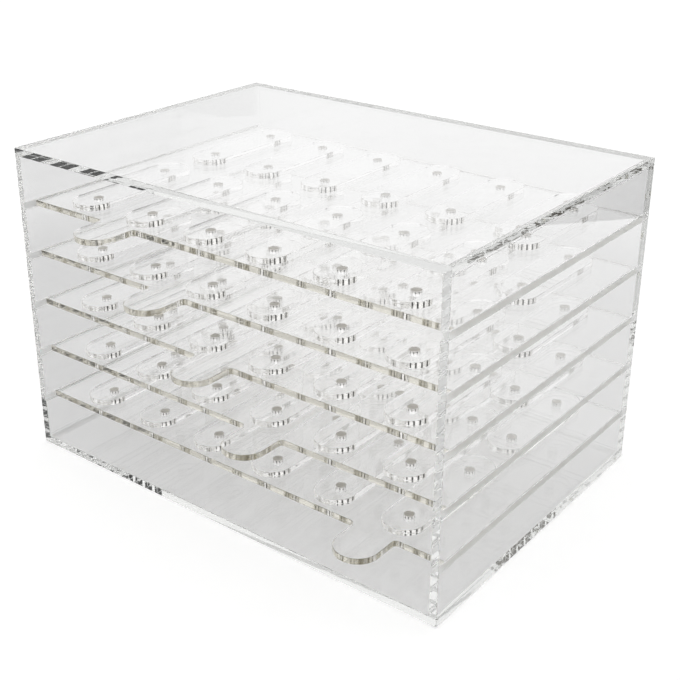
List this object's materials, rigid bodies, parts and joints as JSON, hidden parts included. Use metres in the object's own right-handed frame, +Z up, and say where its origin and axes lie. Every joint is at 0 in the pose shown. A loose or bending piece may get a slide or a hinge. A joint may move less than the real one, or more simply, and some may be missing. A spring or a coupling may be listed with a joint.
{
  "type": "nail art storage box",
  "caption": "Open-fronted clear box whose clear trays slide out on side grooves; each tray has a finger tab and raised round-ended bars with paired magnets.",
  "frame": {"origin": "on the table, under the middle of the whole box with its finger tabs", "axes": "+X to the right seen from the front, +Y from the open front to the back, +Z up"},
  "size_m": [0.25, 0.1914, 0.162],
  "materials": {
    "case_acrylic": "polished clear acrylic",
    "tray_acrylic": "polished clear acrylic",
    "magnet_plating": "bright nickel plate"
  },
  "bodies": {
    "case": {"top_panel": "case_acrylic", "bottom_panel": "case_acrylic", "left_wall": "case_acrylic", "right_wall": "case_acrylic", "back_panel": "case_acrylic"},
    "tray_1": {"tray_1_plate": "tray_acrylic", "tray_1_front_bars": "tray_acrylic", "tray_1_front_magnets": "magnet_plating", "tray_1_rear_bars": "tray_acrylic", "tray_1_rear_magnets": "magnet_plating"},
    "tray_2": {"tray_2_plate": "tray_acrylic", "tray_2_front_bars": "tray_acrylic", "tray_2_front_magnets": "magnet_plating", "tray_2_rear_bars": "tray_acrylic", "tray_2_rear_magnets": "magnet_plating"},
    "tray_3": {"tray_3_plate": "tray_acrylic", "tray_3_front_bars": "tray_acrylic", "tray_3_front_magnets": "magnet_plating", "tray_3_rear_bars": "tray_acrylic", "tray_3_rear_magnets": "magnet_plating"},
    "tray_4": {"tray_4_plate": "tray_acrylic", "tray_4_front_bars": "tray_acrylic", "tray_4_front_magnets": "magnet_plating", "tray_4_rear_bars": "tray_acrylic", "tray_4_rear_magnets": "magnet_plating"},
    "tray_5": {"tray_5_plate": "tray_acrylic", "tray_5_front_bars": "tray_acrylic", "tray_5_front_magnets": "magnet_plating", "tray_5_rear_bars": "tray_acrylic", "tray_5_rear_magnets": "magnet_plating"}
  },
  "joints": [
    {"name": "tray_1_slide", "type": "slide", "parent": "case", "child": "tray_1", "axis": [0, -1, 0], "range_m": [0, 0.15]},
    {"name": "tray_2_slide", "type": "slide", "parent": "case", "child": "tray_2", "axis": [0, -1, 0], "range_m": [0, 0.15]},
    {"name": "tray_3_slide", "type": "slide", "parent": "case", "child": "tray_3", "axis": [0, -1, 0], "range_m": [0, 0.15]},
    {"name": "tray_4_slide", "type": "slide", "parent": "case", "child": "tray_4", "axis": [0, -1, 0], "range_m": [0, 0.15]},
    {"name": "tray_5_slide", "type": "slide", "parent": "case", "child": "tray_5", "axis": [0, -1, 0], "range_m": [0, 0.15]}
  ]
}
